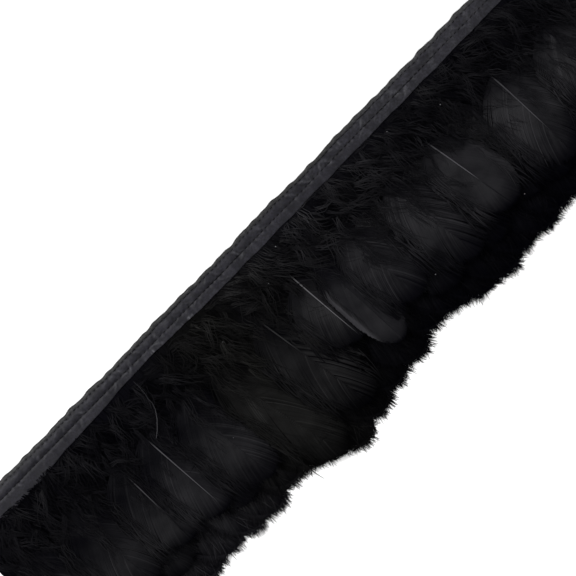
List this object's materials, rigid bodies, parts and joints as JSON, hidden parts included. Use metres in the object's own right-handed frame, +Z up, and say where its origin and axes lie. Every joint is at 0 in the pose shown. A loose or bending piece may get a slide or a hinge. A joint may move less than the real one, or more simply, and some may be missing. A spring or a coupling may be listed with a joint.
{
  "type": "goose feather fringe trim",
  "caption": "Length of black goose feather fringe trim: overlapping feathers with downy bases sewn side by side into a folded ribbon tape, lying face up.",
  "frame": {"origin": "middle of the ribbon tape's flat underside, halfway along the trim", "axes": "+X along the tape, -Y from the tape towards the feathers' tips, +Z up through the face that shows"},
  "size_m": [0.532, 0.1465, 0.0108],
  "materials": {
    "ribbon": "soft woven, slight sheen",
    "thread": "matte spun thread",
    "feather_front": "satin vane",
    "feather_back": "matte vane"
  },
  "bodies": {
    "root": {"back_feather_01": "feather_back", "back_feather_02": "feather_back", "back_feather_03": "feather_back", "back_feather_04": "feather_back", "back_feather_05": "feather_back", "back_feather_06": "feather_back", "back_feather_07": "feather_back", "back_feather_08": "feather_back", "back_feather_09": "feather_back", "back_feather_10": "feather_back", "back_feather_11": "feather_back", "back_feather_12": "feather_back", "back_feather_13": "feather_back", "back_feather_14": "feather_back", "back_feather_15": "feather_back", "back_feather_16": "feather_back", "back_feather_17": "feather_back", "back_feather_18": "feather_back", "back_feather_19": "feather_back", "back_feather_20": "feather_back", "back_feather_21": "feather_back", "back_feather_22": "feather_back", "back_feather_23": "feather_back", "back_feather_24": "feather_back", "back_feather_25": "feather_back", "middle_feather_01": "feather_front", "middle_feather_02": "feather_front", "middle_feather_03": "feather_front", "middle_feather_04": "feather_front", "middle_feather_05": "feather_front", "middle_feather_06": "feather_front", "middle_feather_07": "feather_front", "middle_feather_08": "feather_front", "middle_feather_09": "feather_front", "middle_feather_10": "feather_front", "middle_feather_11": "feather_front", "ribbon_tape": "ribbon", "stitch_thread_inner": "thread", "stitch_thread_outer": "thread", "top_feather_01": "feather_front", "top_feather_02": "feather_front", "top_feather_03": "feather_front", "top_feather_04": "feather_front", "top_feather_05": "feather_front", "top_feather_06": "feather_front", "top_feather_07": "feather_front", "top_feather_08": "feather_front", "top_feather_09": "feather_front", "top_feather_10": "feather_front", "top_feather_11": "feather_front", "top_feather_12": "feather_front", "top_feather_13": "feather_front", "top_feather_14": "feather_front"}
  },
  "joints": []
}
